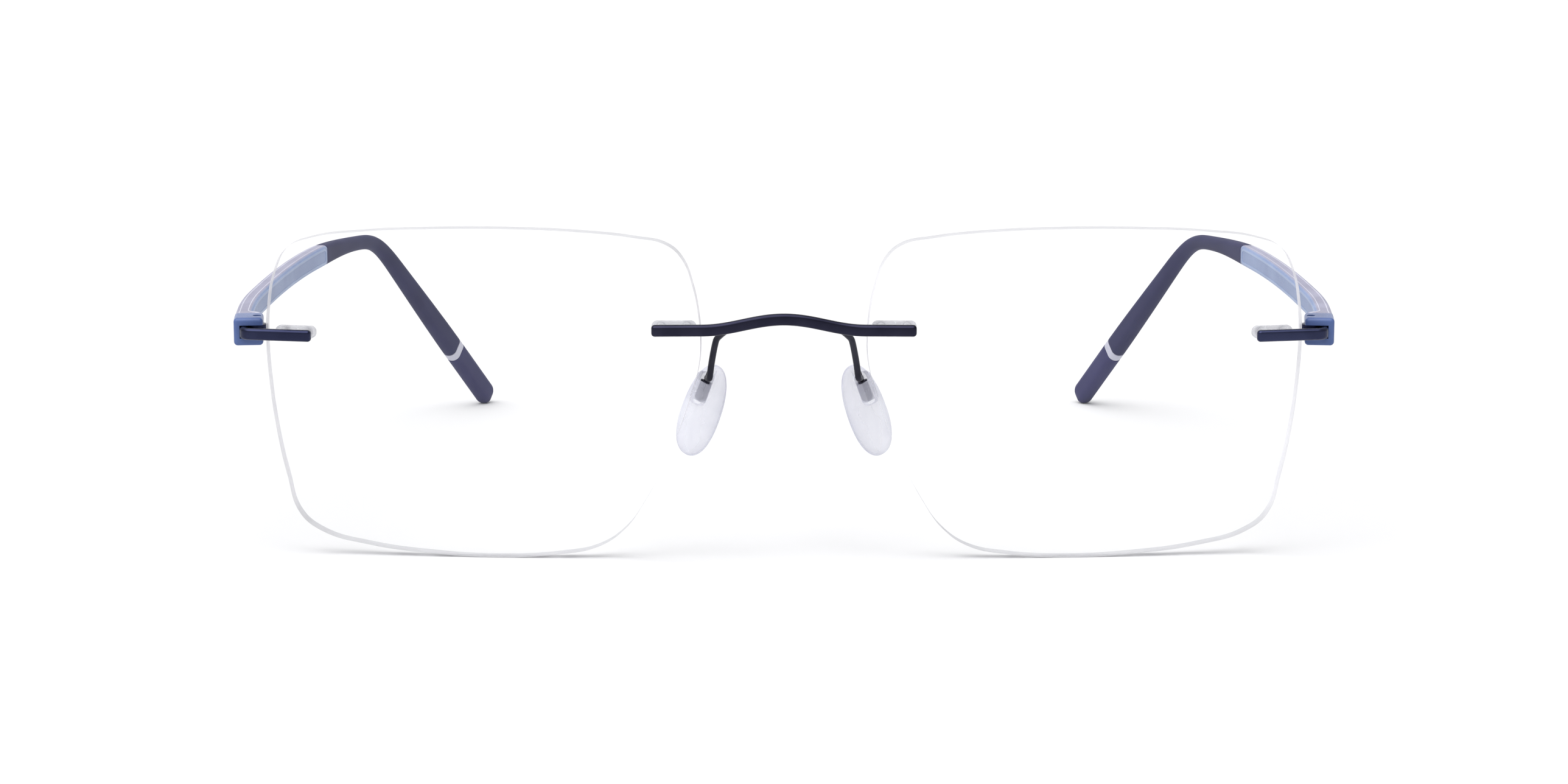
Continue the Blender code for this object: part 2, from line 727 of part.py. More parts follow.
def tip_cap(course):
    places = course.between(cap_start(course), course.length - TIP_DOME, 2 * CORE_SPACING)
    rings = temple_rings(course, places[:-1])
    rings += dome_rings(course.frame(course.length), temple_section(course.length, course.length))
    cap = make_object("left_tip_cap", loft(rings), "sleeve")
    bore = core_cutter(course, cap_start(course) - 0.001, cap_start(course) + CORE_CAP_GRIP)
    return combine(cap, [bore], "DIFFERENCE")


def temple_core(course):
    start = ARM_LENGTH - CORE_ARM_GRIP + 2 * FIT_GAP
    end = cap_start(course) + CORE_CAP_GRIP - 2 * FIT_GAP
    places = course.between(start, end, CORE_SPACING)
    return make_object("left_temple_core", loft(core_rings(course, places, CORE_RADIUS)), "steel")


# ---------------------------------------------------------------- nose pads


def pad_frame():
    """The left pad's frame: X across it towards the back, Y towards the skin and Z up its length."""
    flare = Matrix.Rotation(-PAD_FLARE, 4, "Y")
    splay = Matrix.Rotation(math.radians(90) - PAD_SPLAY, 4, "Z")
    return Matrix.Translation(PAD_PLACE) @ flare @ splay


def pad_outline(steps=28):
    """A soft oval, slightly fuller at the bottom."""
    points = []
    for step in range(steps):
        turn = 2 * math.pi * step / steps
        across, up = math.cos(turn), math.sin(turn)
        squareness = (abs(across) ** 2.3 + abs(up) ** 2.3) ** (-1 / 2.3)
        across, up = across * squareness, up * squareness
        points.append((across * PAD_WIDTH / 2 * (1 - 0.06 * up), up * PAD_LENGTH / 2))
    return points


def box_solid(name, frame, low, high, material):
    """A box between two corners in a frame."""
    corners = ((low[0], low[2]), (high[0], low[2]), (high[0], high[2]), (low[0], high[2]))
    rings = [[frame @ Vector((x, y, z)) for x, z in corners] for y in (low[1], high[1])]
    return make_object(name, loft(rings), material)


def clip_half_sizes():
    slot = TONGUE_HALF_WIDTH + ROCK_GAP, TONGUE_HALF_DEPTH + ROCK_GAP
    return slot, (slot[0] + CLIP_WALL, slot[1] + CLIP_WALL)


def nose_pad():
    """The silicone pad, with a boss on its front side and a pocket open at the top."""
    frame = pad_frame()
    outline = pad_outline()
    half = PAD_THICKNESS / 2
    profile = ((-1, 0.78), (-0.9, 0.89), (-0.55, 0.975), (0, 1.0), (0.45, 0.965), (0.82, 0.85), (1, 0.62))
    rings = [[frame @ Vector((x * scale, half * depth, z * scale)) for x, z in outline]
             for depth, scale in profile]
    pad = make_object("left_nose_pad", loft(rings), "pad")
    _, (wide, deep) = clip_half_sizes()
    wide += FIT_GAP
    deep += FIT_GAP
    boss_wide = wide + BOSS_WALL
    front = TONGUE_OFFSET + deep + BOSS_WALL
    low = CLIP_BOTTOM - BOSS_WALL - FIT_GAP
    rings = []
    for place, inset in ((0.0, 0.0), (front - 0.0003, 0.0), (front - 0.0001, 0.0001), (front, 0.0003)):
        middle = (low + BOSS_TOP) / 2
        section = rounded_rectangle(boss_wide - inset, boss_wide - inset, (BOSS_TOP - low) / 2 - inset, 0.0007)
        rings.append([frame @ Vector((x, -place, z + middle)) for x, z in section])
    boss = make_object("boss", loft(rings), "pad")
    pad = combine(pad, [boss], "UNION")
    above = PAD_LENGTH
    pocket = box_solid("pocket", frame, (-wide, -TONGUE_OFFSET - deep, CLIP_BOTTOM - FIT_GAP),
                       (wide, -TONGUE_OFFSET + deep, above), "steel")
    slit = PAD_WIRE_RADIUS + 2 * ROCK_GAP
    mouth = box_solid("mouth", frame, (-slit - WIRE_SIDE_STEP, -0.004, WIRE_ENTRY - slit),
                      (slit, -TONGUE_OFFSET, above), "steel")
    return combine(pad, [pocket, mouth], "DIFFERENCE")


def pad_clip():
    """A metal socket that fills the lower part of the pocket and holds the tongue."""
    frame = pad_frame() @ Matrix.Translation((0, -TONGUE_OFFSET, 0))
    (slot_wide, slot_deep), (wide, deep) = clip_half_sizes()
    clip = box_solid("left_pad_clip", frame, (-wide, -deep, CLIP_BOTTOM), (wide, deep, CLIP_TOP), "steel")
    floor = TONGUE_BOTTOM - ROCK_GAP
    slot = box_solid("slot", frame, (-slot_wide, -slot_deep, floor), (slot_wide, slot_deep, CLIP_TOP + 0.001), "steel")
    return combine(clip, [slot], "DIFFERENCE")


def pad_arm():
    """A wire from the back of the bridge that drops to the pad and ends in a flat tongue."""
    frame = pad_frame()
    tongue_frame = frame @ Matrix.Translation((0, -TONGUE_OFFSET, 0))
    root, backward = bridge_back(PAD_WIRE_ROOT)
    knee = Vector(PAD_WIRE_KNEE)
    entry = frame @ Vector((-WIRE_SIDE_STEP, -TONGUE_OFFSET - 0.0010, WIRE_ENTRY + 0.0005))
    inside = frame @ Vector((0, -TONGUE_OFFSET, WIRE_ENTRY))
    nodes = [
        (root, backward),
        (knee, Vector((0.30, 0.25, -1))),
        (entry, Vector((0.05, 0.25, -1))),
        (inside, frame.to_3x3() @ Vector((0.6, 1, -0.2))),
    ]
    path = []
    for (start, out), (end, into) in zip(nodes, nodes[1:]):
        reach = (end - start).length / 3
        path += interpolate_bezier(start, start + out.normalized() * reach,
                                   end - into.normalized() * reach, end, 7)[:-1]
    path.append(inside)
    sideways = Vector((1, 0, 0))
    rings = [place_ring(frame, circle(PAD_WIRE_RADIUS, 10)) for frame in bar_frames(path, [sideways] * len(path))]
    wire = make_object("left_pad_arm", loft(rings), "metal")
    tongue = box_solid("tongue", tongue_frame, (-TONGUE_HALF_WIDTH, -TONGUE_HALF_DEPTH, TONGUE_BOTTOM),
                       (TONGUE_HALF_WIDTH, TONGUE_HALF_DEPTH, TONGUE_TOP), "metal")
    return combine(wire, [tongue], "UNION")


# ---------------------------------------------------------------- assembly


def bridge_back(x):
    """A point just behind the bridge bar at this distance from the middle, and the way it faces."""
    for start, end in zip(bridge_path(), bridge_path()[1:]):
        if end.x <= x <= start.x:
            point = start.lerp(end, (start.x - x) / (start.x - end.x))
            normal = (end - start).cross(UP).normalized()
            return point + normal * (BRIDGE_DEPTH / 2 + FIT_GAP), normal
    raise ValueError("the pad arm's root is past the end of the bridge")


def empty(name, place, parent=None):
    holder = bpy.data.objects.new(name, None)
    holder.empty_display_size = 0.005
    bpy.context.collection.objects.link(holder)
    holder.location = place
    holder.parent = parent
    return holder


def attach(obj, parent):
    """Parents a piece to an empty, with its origin there and its shape where it was."""
    bpy.context.view_layer.update()
    obj.data.transform(Matrix.Translation(-parent.matrix_world.translation))
    obj.parent = parent


def main():
    clear_scene()
    course = Course(temple_path())
    root = empty("eyeglasses", (0, 0, 0))
    front_pieces = [lens(), end_piece(), pad_arm(),
                    bush("left_nasal_bush", nasal_seat(), NASAL_PIN_SPACING),
                    bush("left_temporal_bush", temporal_seat(), TEMPORAL_PIN_SPACING)]
    temple_pieces = [temple_arm(course), liner_solid(course, 0, 0), temple_sleeve(course),
                     tip_ring(course), tip_cap(course), temple_core(course), hinge_pin()]
    pad_pieces = [nose_pad(), pad_clip()]
    attach(bridge(), root)
    pad_axis = pad_frame() @ Vector((0, -TONGUE_OFFSET, 0))
    groups = (("front", front_pieces, None), ("temple", temple_pieces, hinge_point()),
              ("pad", pad_pieces, pad_axis))
    for kind, pieces, axis in groups:
        copies = [mirrored(piece, piece.name.replace("left", "right")) for piece in pieces]
        for side, label, group in ((1, "left", pieces), (-1, "right", copies)):
            parent = empty(f"{label}_{kind}_axis", (side * axis.x, axis.y, axis.z), root) if axis else root
            for piece in group:
                attach(piece, parent)
    centre(root)


def centre(root):
    """Moves the glasses so that the origin is under the middle of their box."""
    bpy.context.view_layer.update()
    corners = [obj.matrix_world @ Vector(corner) for obj in bpy.data.objects if obj.type == "MESH"
               for corner in obj.bound_box]
    low = [min(corner[axis] for corner in corners) for axis in range(3)]
    high = [max(corner[axis] for corner in corners) for axis in range(3)]
    root.location = (0, -(low[1] + high[1]) / 2, -low[2])


main()
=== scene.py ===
import json
import math
from bisect import bisect_right

import bmesh
import bpy
from mathutils import Matrix, Vector
from mathutils.geometry import interpolate_bezier


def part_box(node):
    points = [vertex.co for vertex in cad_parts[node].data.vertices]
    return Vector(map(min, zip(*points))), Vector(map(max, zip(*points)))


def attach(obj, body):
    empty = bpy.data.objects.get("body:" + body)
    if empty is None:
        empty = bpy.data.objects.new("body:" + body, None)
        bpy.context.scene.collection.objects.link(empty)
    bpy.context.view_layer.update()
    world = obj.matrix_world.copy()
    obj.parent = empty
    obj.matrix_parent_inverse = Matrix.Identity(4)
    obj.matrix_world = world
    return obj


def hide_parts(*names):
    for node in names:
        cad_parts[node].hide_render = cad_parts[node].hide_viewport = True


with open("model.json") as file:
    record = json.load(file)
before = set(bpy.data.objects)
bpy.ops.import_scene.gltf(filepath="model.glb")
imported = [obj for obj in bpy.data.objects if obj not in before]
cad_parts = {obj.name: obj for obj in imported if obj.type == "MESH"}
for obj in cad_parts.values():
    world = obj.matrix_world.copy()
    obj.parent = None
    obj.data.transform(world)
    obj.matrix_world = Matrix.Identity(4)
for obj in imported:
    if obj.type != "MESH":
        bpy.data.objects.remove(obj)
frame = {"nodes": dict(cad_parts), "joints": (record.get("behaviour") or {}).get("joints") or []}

scene = bpy.context.scene
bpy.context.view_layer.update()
joints = {joint["name"]: joint for joint in frame["joints"]}
hinge = Vector(joints["left_temple_fold"]["pos_m"])
hingeSetback = 0.007145
middle = Vector((0, hinge.y - hingeSetback, 0))  # between the lenses, on the table
up = Vector((0, 0, 1))


# Shader sockets that can be added and multiplied, and one way of making every other node

class Signal:
    def __init__(self, nodes, socket):
        self.nodes = nodes
        self.socket = socket

    def math(self, operation, *values):
        return self.nodes.node("ShaderNodeMath", {"operation": operation}, dict(enumerate(values)))

    def __add__(self, other):
        return self.math("ADD", self, other)

    def __radd__(self, other):
        return self.math("ADD", other, self)

    def __sub__(self, other):
        return self.math("SUBTRACT", self, other)

    def __rsub__(self, other):
        return self.math("SUBTRACT", other, self)

    def __mul__(self, other):
        return self.math("MULTIPLY", self, other)

    def __rmul__(self, other):
        return self.math("MULTIPLY", other, self)

    def smooth(self, low, high, start=0.0, end=1.0):  # an eased step from start to end between two values
        sockets = {0: self, 1: low, 2: high, 3: start, 4: end}
        return self.nodes.node("ShaderNodeMapRange", {"interpolation_type": "SMOOTHSTEP"}, sockets)


class Nodes:
    def __init__(self, tree):
        self.tree = tree

    def node(self, kind, settings=None, sockets=None, output=0):
        made = self.tree.nodes.new(kind)
        for key, value in (settings or {}).items():
            setattr(made, key, value)
        for key, value in (sockets or {}).items():
            self.feed(made.inputs[key], value)
        return Signal(self, made.outputs[output])

    def feed(self, socket, value):
        if isinstance(value, Signal):
            self.tree.links.new(value.socket, socket)
        else:
            socket.default_value = value


class Finish(Nodes):  # a material with its Principled shader
    def __init__(self, name):
        self.material = bpy.data.materials.new(name)
        self.material.use_nodes = True
        super().__init__(self.material.node_tree)
        self.shader = self.tree.nodes["Principled BSDF"]

    def set(self, **values):  # baseColor stands for the socket Base Color
        for key, value in values.items():
            words = "".join(" " + letter if letter.isupper() else letter for letter in key)
            name = words[0].upper() + words[1:]
            self.feed(self.shader.inputs["IOR" if key == "ior" else name.replace("Ior", "IOR")], value)
        return self

    def noise(self, size, detail=2.0, roughness=0.5, stretch=None):  # size is that of its patches, in metres
        place = self.node("ShaderNodeTexCoord", output="Object")
        if stretch:
            place = self.node("ShaderNodeMapping", None, {0: place, "Scale": stretch})
        sockets = {"Vector": place, "Scale": 1 / size, "Detail": detail, "Roughness": roughness}
        return self.node("ShaderNodeTexNoise", None, sockets)

    def mix(self, share, first, second):  # colours
        sockets = {0: share, 6: first, 7: second}
        return self.node("ShaderNodeMix", {"data_type": "RGBA"}, sockets, output=2)

    def bump(self, height, distance, strength=1.0):
        sockets = {"Height": height, "Distance": distance, "Strength": strength}
        return self.node("ShaderNodeBump", None, sockets)

    def facing(self, blend=0.5):
        return self.node("ShaderNodeLayerWeight", None, {"Blend": blend}, output="Facing")


def tone(red, green, blue):  # a screen colour as the shader wants it
    screen = (red, green, blue)
    linear = [value / 3294.6 if value <= 10 else ((value / 255 + 0.055) / 1.055) ** 2.4 for value in screen]
    return (*linear, 1)


# Ways of shaping

def frameAt(point, along, lean):  # Y along, X across and Z as near lean as it can be
    across = along.cross(lean).normalized()
    along = along.normalized()
    matrix = Matrix((across, along, across.cross(along))).transposed().to_4x4()
    matrix.translation = point
    return matrix


class Course:  # frames at any distance along a line of points
    def __init__(self, points, lean=None):
        self.points = points
        self.lean = lean or (lambda place: up)
        self.places = [0.0]
        for near, far in zip(points, points[1:]):
            self.places.append(self.places[-1] + (far - near).length)
        self.length = self.places[-1]

    def point(self, place):
        index = min(max(bisect_right(self.places, place) - 1, 0), len(self.points) - 2)
        near, far = self.places[index], self.places[index + 1]
        return self.points[index].lerp(self.points[index + 1], (place - near) / (far - near))

    def frame(self, place, step=0.0003):
        ahead, behind = min(place + step, self.length), max(place - step, 0)
        if ahead - behind < step:
            ahead, behind = (self.length, self.length - step) if place > self.length / 2 else (step, 0)
        return frameAt(self.point(place), self.point(ahead) - self.point(behind), self.lean(place))


def bend(bm, course):  # lays a straight piece, made along Y, on a course
    frames = {}
    for vert in bm.verts:
        x, y, z = vert.co
        key = round(y, 7)
        if key not in frames:
            frames[key] = course.frame(y)
        vert.co = frames[key] @ Vector((x, 0, z))
    return bm


def seat(bm, matrix):  # puts a piece where a frame says
    bmesh.ops.transform(bm, matrix=matrix, verts=bm.verts)
    return bm


def roundEdges(bm, edges, radius, segments):
    return bmesh.ops.bevel(bm, geom=edges, offset=radius, offset_type="OFFSET", affect="EDGES",
                           segments=segments, profile=0.5, material=-1, clamp_overlap=True)["faces"]


def spans(edge, axis):
    return (edge.verts[0].co - edge.verts[1].co).normalized()[axis] ** 2 > 0.99


def lies(item, axis, value):
    return all(abs(vert.co[axis] - value) < 1e-6 for vert in item.verts)


def limit(share):
    return min(max(share, 0), 1)


def vertsOf(items):
    return [item for item in items if isinstance(item, bmesh.types.BMVert)]


def cut(bm, places, axis=1):
    normal = [float(axis == i) for i in range(3)]
    for place in places:
        bmesh.ops.bisect_plane(bm, geom=[*bm.verts, *bm.edges, *bm.faces], dist=1e-8,
                               plane_co=[place * n for n in normal], plane_no=normal)


def steps(start, end, spacing):
    count = max(int((end - start) / spacing), 1)
    return [start + (end - start) * i / count for i in range(1, count)]


def block(low, high):
    bm = bmesh.new()
    bmesh.ops.create_cube(bm, size=1)
    bmesh.ops.scale(bm, vec=[b - a for a, b in zip(low, high)], verts=bm.verts)
    bmesh.ops.translate(bm, vec=[(a + b) / 2 for a, b in zip(low, high)], verts=bm.verts)
    return bm


def bar(start, end, halfAcross, halfUp, corner, spacing, startRound=0.0, endRound=0.0, segments=5):
    bm = block((-halfAcross, start, -halfUp), (halfAcross, end, halfUp))
    roundEdges(bm, [edge for edge in bm.edges if spans(edge, 1)], corner, segments)
    for place, radius in ((start, startRound), (end, endRound)):
        if radius:
            roundEdges(bm, [edge for edge in bm.edges if lies(edge, 1, place)], radius, 4)
    cut(bm, steps(start, end, spacing))
    return bm


def rod(start, end, radius, rounding=0.0, segments=32):
    bm = bmesh.new()
    bmesh.ops.create_cone(bm, cap_ends=True, segments=segments,
                          radius1=radius, radius2=radius, depth=end - start)
    bmesh.ops.rotate(bm, matrix=Matrix.Rotation(math.radians(90), 3, "X"), verts=bm.verts)
    bmesh.ops.translate(bm, vec=(0, (start + end) / 2, 0), verts=bm.verts)
    if rounding:
        ends = [edge for edge in bm.edges if lies(edge, 1, start) or lies(edge, 1, end)]
        roundEdges(bm, ends, rounding, 3)
    return bm


def add(bm, *others):
    for other in others:
        mesh = bpy.data.meshes.new("added")
        other.to_mesh(mesh)
        other.free()
        bm.from_mesh(mesh)
        bpy.data.meshes.remove(mesh)
    return bm


def paint(bm, index, test=lambda face: True):
    for face in bm.faces:
        if test(face):
            face.material_index = index
    return bm


def solid(name, bm, finishes=()):
    bmesh.ops.remove_doubles(bm, verts=bm.verts, dist=1e-8)
    mesh = bpy.data.meshes.new(name)
    bm.to_mesh(mesh)
    bm.free()
    for finish in finishes:
        mesh.materials.append(finish.material)
    obj = bpy.data.objects.new(name, mesh)
    scene.collection.objects.link(obj)
    return obj


def carve(obj, cutters, operation="DIFFERENCE"):  # boolean with finished meshes, applied
    others = [solid("cutter", bm) for bm in cutters]
    for other in others:
        modifier = obj.modifiers.new("carve", "BOOLEAN")
        modifier.operation = operation
        modifier.object = other
        modifier.solver = "EXACT"
    bpy.context.view_layer.update()
    mesh = bpy.data.meshes.new_from_object(obj.evaluated_get(bpy.context.evaluated_depsgraph_get()))
    obj.modifiers.clear()
    obj.data = mesh
    for other in others:
        bpy.data.objects.remove(other)
    return obj


def pair(obj, name, bodies, nodes, angle=40):  # finishes the left piece and makes the right one
    mesh = obj.data
    mesh.shade_smooth()
    mesh.set_sharp_from_angle(angle=math.radians(angle))
    mirrored = mesh.copy()
    mirrored.transform(Matrix.Scale(-1, 4, (1, 0, 0)))
    mirrored.flip_normals()
    other = bpy.data.objects.new("right" + name, mirrored)
    scene.collection.objects.link(other)
    obj.name = "left" + name
    for side, made in (("left", obj), ("right", other)):
        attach(made, bodies if bodies == "front" else f"{side}_{bodies}")
        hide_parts(*(f"{side}_{node}" for node in nodes))


# Finishes

lensFace = Finish("lensFace").set(
    baseColor=tone(242, 245, 250), roughness=0.02, ior=1.5, specularIorLevel=0.5)
# opacity rises towards grazing angles, so the near-white face colour shows there as a painted reflection
lensFace.set(alpha=lensFace.facing(0.35).smooth(0.45, 1.0, 0.018, 0.30))

lensEdge = Finish("lensEdge").set(ior=1.5, specularIorLevel=0.4)
grind = lensEdge.noise(0.00018, 3.0, 0.6)
# edge faces that face up are painted darker grey: painted shade
upwardShade = lensEdge.node("ShaderNodeNewGeometry", output="Normal")
upwardShade = lensEdge.node("ShaderNodeSeparateXYZ", None, {0: upwardShade}, output=2)
sideTone = lensEdge.mix(lensEdge.noise(0.004), tone(226, 225, 231), tone(238, 237, 241))
lensEdge.set(baseColor=lensEdge.mix(upwardShade.smooth(0.1, 0.8), sideTone, tone(186, 186, 190)),
             roughness=grind.smooth(0.3, 0.7, 0.38, 0.55),
             alpha=lensEdge.noise(0.0025).smooth(0.35, 0.65, 0.72, 0.86),
             normal=lensEdge.bump(grind, 0.00001, 0.5))

bushFinish = Finish("bush").set(ior=1.49, transmissionWeight=0.2, alpha=0.62)
bushFinish.set(baseColor=bushFinish.mix(bushFinish.noise(0.0012), tone(206, 206, 212), tone(226, 226, 231)),
               roughness=bushFinish.noise(0.0006).smooth(0.3, 0.7, 0.16, 0.28))


def metal(name, dark, light, grain=0.00022):
    made = Finish(name).set(metallic=1.0)
    fine = made.noise(grain, 3.0, 0.6, (1, 1, 2.2))
    broad = made.noise(0.005)
    return made.set(baseColor=made.mix(broad.smooth(0.3, 0.7), dark, light),
                    roughness=fine.smooth(0.25, 0.75, 0.26, 0.36) + broad * 0.05,
                    normal=made.bump(fine, 0.000004, 0.35))


barFinish = metal("barMetal", tone(38, 38, 53), tone(48, 48, 64))
endFinish = metal("endMetal", tone(44, 47, 70), tone(54, 58, 84))
wireFinish = metal("wireMetal", tone(44, 44, 52), tone(58, 58, 66))
clipFinish = metal("clipSteel", tone(36, 36, 46), tone(78, 78, 90), 0.00012)
coreFinish = metal("coreSteel", tone(150, 150, 154), tone(172, 172, 176))


def moulded(name, dark, light, rough=(0.42, 0.55), grain=0.00016, depth=0.000003, level=0.35):
    made = Finish(name).set(ior=1.5, specularIorLevel=level)
    fine = made.noise(grain, 2.0, 0.55)
    broad = made.noise(0.006, 2.0)
    return made.set(baseColor=made.mix(broad.smooth(0.3, 0.7), dark, light),
                    roughness=fine.smooth(0.3, 0.7, *rough),
                    normal=made.bump(fine, depth, 0.4))


lavender = moulded("armLavender", tone(138, 137, 158), tone(152, 151, 172))
# thin lighter lines along the arm's edges: a painted highlight
edgeHighlight = moulded("armEdgeHighlight", tone(176, 176, 192), tone(188, 188, 204), (0.3, 0.4))
sideBlue = moulded("armInnerSide", tone(118, 134, 172), tone(130, 146, 182), (0.36, 0.46))
blockBlue = moulded("armBlock", tone(62, 82, 130), tone(78, 98, 148), (0.28, 0.36))
linerBlue = moulded("inlayBlue", tone(116, 137, 180), tone(128, 149, 190), (0.34, 0.44))
# a lighter blue for the inlay's rim: a painted highlight where the rim catches light
linerRimHighlight = moulded("inlayRim", tone(136, 152, 186), tone(148, 164, 196), (0.3, 0.4))
sleeveFinish = moulded("sleeveSlate", tone(32, 32, 70), tone(40, 40, 78), (0.52, 0.64), level=0.12)
capFinish = moulded("capSlate", tone(43, 42, 84), tone(51, 50, 92), (0.48, 0.6), level=0.12)
ringFinish = moulded("ringPale", tone(176, 176, 192), tone(192, 192, 206), (0.36, 0.46))

padFinish = Finish("padSilicone").set(ior=1.41, transmissionWeight=0.25, specularIorLevel=0.5)
cloud = padFinish.noise(0.0035, 2.0)
padFinish.set(baseColor=padFinish.mix(cloud.smooth(0.3, 0.7), tone(206, 207, 222), tone(222, 223, 235)),
              roughness=padFinish.noise(0.0009).smooth(0.3, 0.7, 0.12, 0.22),
              alpha=padFinish.facing(0.5).smooth(0.10, 0.90, 0.34, 0.88),
              normal=padFinish.bump(padFinish.noise(0.0012), 0.00003, 0.25))
print("finishes made")


# Lenses: one clear shell each, with a ground edge and four drilled holes

lens = {
    "width": 0.0555,
    "height": 0.0426,
    "gap": 0.0214,
    "thickness": 0.0020,
    "radius": 0.250,
    "edgeBevel": 0.00022,
    "wrap": math.radians(4.0),
    "tilt": math.radians(3.0),
    "outline": (
        (1.000, 0.31), (0.992, 0.52), (0.958, 0.73), (0.900, 0.862), (0.790, 0.926),
        (0.560, 0.970), (0.240, 0.994), (-0.100, 1.000), (-0.440, 0.985), (-0.700, 0.950),
        (-0.850, 0.905), (-0.918, 0.820), (-0.965, 0.660), (-0.990, 0.500), (-1.000, 0.320),
        (-0.990, 0.170), (-0.950, -0.020), (-0.866, -0.320), (-0.740, -0.650), (-0.650, -0.815),
        (-0.530, -0.925), (-0.340, -0.978), (-0.050, -1.000), (0.240, -0.985), (0.550, -0.938),
        (0.766, -0.863), (0.866, -0.757), (0.921, -0.515), (0.966, -0.210), (0.990, 0.060),
    ),
    "hole": 0.00073,
    "spacing": 0.0026,  # between the rows of its mesh
}


def lensFrame():
    turn = Matrix.Rotation(lens["tilt"], 4, "X") @ Matrix.Rotation(lens["wrap"], 4, "Z")
    across = lens["gap"] / 2 + lens["width"] / 2 * math.cos(lens["wrap"])
    height = lens["height"] / 2 * math.cos(lens["tilt"])
    return Matrix.Translation(middle + Vector((across, 0, height))) @ turn


def faceDepth(across, height, behind=0.0):
    return lens["radius"] - math.sqrt((lens["radius"] - behind) ** 2 - across ** 2 - height ** 2)


def closedLine(points, steps):  # a smooth closed line of edges through the points
    data = bpy.data.curves.new("line", "CURVE")
    data.dimensions = "3D"
    data.resolution_u = steps
    spline = data.splines.new("BEZIER")
    spline.bezier_points.add(len(points) - 1)
    spline.use_cyclic_u = True
    for knot, point in zip(spline.bezier_points, points):
        knot.co = point
        knot.handle_left_type = knot.handle_right_type = "AUTO"
    obj = bpy.data.objects.new("line", data)
    scene.collection.objects.link(obj)
    bpy.context.view_layer.update()
    mesh = bpy.data.meshes.new_from_object(obj.evaluated_get(bpy.context.evaluated_depsgraph_get()))
    bm = bmesh.new()
    bm.from_mesh(mesh)
    bpy.data.objects.remove(obj)
    return bm


mounting = {
    "nasal": {"inset": 0.00330, "height": 0.00862, "side": -1, "spacing": 0.0033, "pinFront": 0.0005},
    "temporal": {"inset": 0.00315, "height": 0.00735, "side": 1, "spacing": 0.0029, "pinFront": 0.0004},
    "plateHeight": 0.0016,
    "plateThickness": 0.0008,
    "plateMargin": 0.0012,
    "plateRear": 0.00022,  # roundings of the plate's two sides
    "plateFront": 0.00010,
    "tube": 0.00068,
    "tubeRound": 0.00006,
    "pin": 0.00033,
    "pinPast": 0.00024,  # how far it stands past the plate
    "pinRound": 0.00010,
    "collar": 0.0006624,
    "collarRise": 0.00018,
    "overlap": 0.0002,
    "fitGap": 0.00005,
    "seatGap": 0.00015,
}


def seatFrame(name):  # X outward along the lens, Y into it
    place = mounting[name]
    across = place["side"] * (lens["width"] / 2 - place["inset"])
    point = Vector((across, faceDepth(across, place["height"]), place["height"]))
    return lensFrame() @ frameAt(point, Vector((0, lens["radius"], 0)) - point, up)


def pinFrames(name):
    half = mounting[name]["spacing"] / 2
    return [seatFrame(name) @ Matrix.Translation((side * half, 0, 0)) for side in (-1, 1)]


def makeLens():
    halfWidth, halfHeight = lens["width"] / 2, lens["height"] / 2
    bm = closedLine([(x * halfWidth, 0, z * halfHeight) for x, z in lens["outline"]], 8)
    bmesh.ops.contextual_create(bm, geom=bm.edges[:])
    cut(bm, steps(-halfWidth, halfWidth, lens["spacing"]), 0)
    cut(bm, steps(-halfHeight, halfHeight, lens["spacing"]), 2)
    thick = lens["thickness"]
    back = bmesh.ops.extrude_face_region(bm, geom=bm.faces[:])["geom"]
    bmesh.ops.translate(bm, vec=(0, thick, 0), verts=vertsOf(back))
    bmesh.ops.recalc_face_normals(bm, faces=bm.faces)
    rims = [edge for edge in bm.edges if edge.calc_face_angle(0) > 0.9]
    roundEdges(bm, rims, lens["edgeBevel"], 2)
    for face in bm.faces:
        face.material_index = int(abs(face.normal.y) < 0.95)
    for vert in bm.verts:
        x, y, z = vert.co
        vert.co.y += faceDepth(x, z, thick) - thick if y > thick / 2 else faceDepth(x, z)
    bmesh.ops.transform(bm, matrix=lensFrame(), verts=bm.verts)
    obj = solid("lens", bm, (lensFace, lensEdge))
    drills = [seat(rod(-0.001, thick + 0.001, lens["hole"]), matrix)
              for name in ("nasal", "temporal") for matrix in pinFrames(name)]
    return carve(obj, drills)


pair(makeLens(), "Lens", "front", ["lens"])
print("lenses made")


# Mounting bushes behind the lenses, and the pins through them

def makeBush(name):
    back = lens["thickness"] + mounting["seatGap"]
    rear = back + mounting["plateThickness"]
    half = mounting[name]["spacing"] / 2 + mounting["plateMargin"]
    tall = mounting["plateHeight"] / 2
    bm = block((-half, back, -tall), (half, rear, tall))
    roundEdges(bm, [edge for edge in bm.edges if spans(edge, 1)], tall * 0.9, 8)
    roundEdges(bm, [edge for edge in bm.edges if lies(edge, 1, rear)], mounting["plateRear"], 4)
    roundEdges(bm, [edge for edge in bm.edges if lies(edge, 1, back)], mounting["plateFront"], 2)
    seat(bm, seatFrame(name))
    overlap, rise = mounting["overlap"], mounting["collarRise"]
    for matrix in pinFrames(name):
        tube = rod(mounting["fitGap"], back + overlap, mounting["tube"], mounting["tubeRound"])
        collar = rod(rear - overlap, rear + rise, mounting["collar"], mounting["pinRound"])
        add(bm, seat(tube, matrix), seat(collar, matrix))
    return solid("bush", bm, (bushFinish,))


def makePins(name):
    bm = bmesh.new()
    end = lens["thickness"] + mounting["seatGap"] + mounting["plateThickness"] + mounting["pinPast"]
    for matrix in pinFrames(name):
        pin = rod(-mounting[name]["pinFront"], end, mounting["pin"], mounting["pinRound"])
        add(bm, seat(pin, matrix))
    return solid("pins", bm, (barFinish,))


for name in ("nasal", "temporal"):
    pair(makeBush(name), name.title() + "Bush", "front", [name + "_bush"])
    pair(makePins(name), name.title() + "Pins", "front", [])
print("mountings made")


# Bridge: a bar with flat ends on the lenses and a low arch

